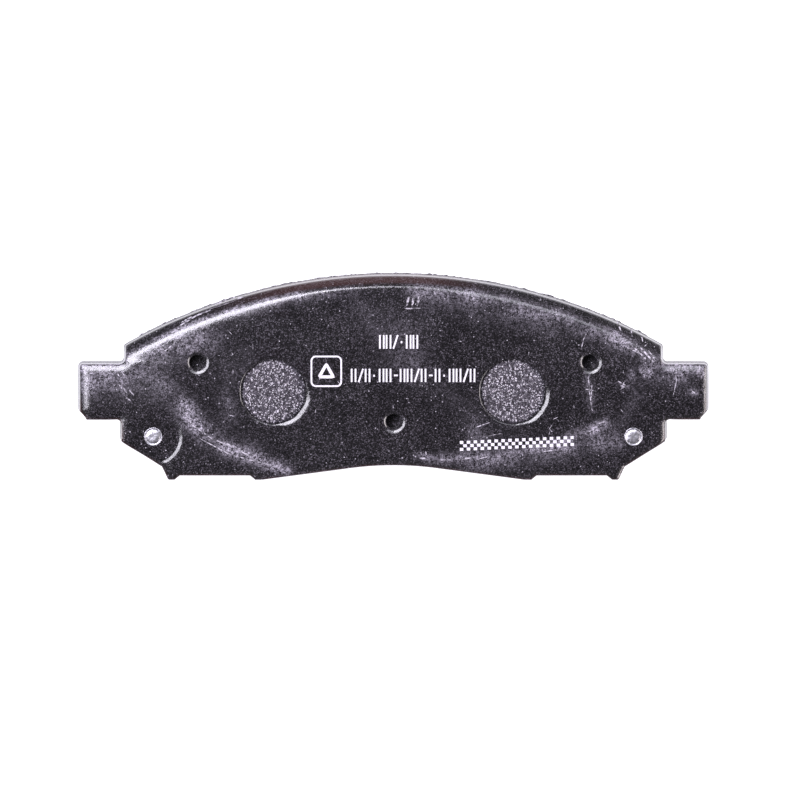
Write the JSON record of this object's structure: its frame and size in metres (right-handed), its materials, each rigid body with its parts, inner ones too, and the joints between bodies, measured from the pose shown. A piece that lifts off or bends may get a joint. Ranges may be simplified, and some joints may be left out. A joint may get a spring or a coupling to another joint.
{
  "type": "disc brake pad",
  "caption": "Flat disc brake pad: a black-coated steel plate with an arched top and two side ears, a grooved friction lining and riveted wear indicators.",
  "frame": {"origin": "middle of the pad's footprint, on the friction face that it lies on", "axes": "+X along the pad, from one ear to the other; +Y outwards to the rim of the disc, the arched side; +Z from the disc to the piston, normal to the back face"},
  "size_m": [0.17, 0.0554, 0.0165],
  "materials": {
    "coated_plate": "fine-textured semi-gloss black powder coat",
    "adhesive": "matt cured resin",
    "underlayer": "rough moulded composite",
    "friction": "ground granular composite",
    "spring_steel": "satin rolled strip",
    "zinc": "zinc plated, hammered end"
  },
  "bodies": {
    "root": {"backing_plate": "coated_plate", "bond_film": "adhesive", "underlayer": "underlayer", "friction_segment_left": "friction", "friction_segment_right": "friction", "wear_indicator_left": "spring_steel", "wear_indicator_right": "spring_steel", "rivet_left": "zinc", "rivet_right": "zinc"}
  },
  "joints": []
}
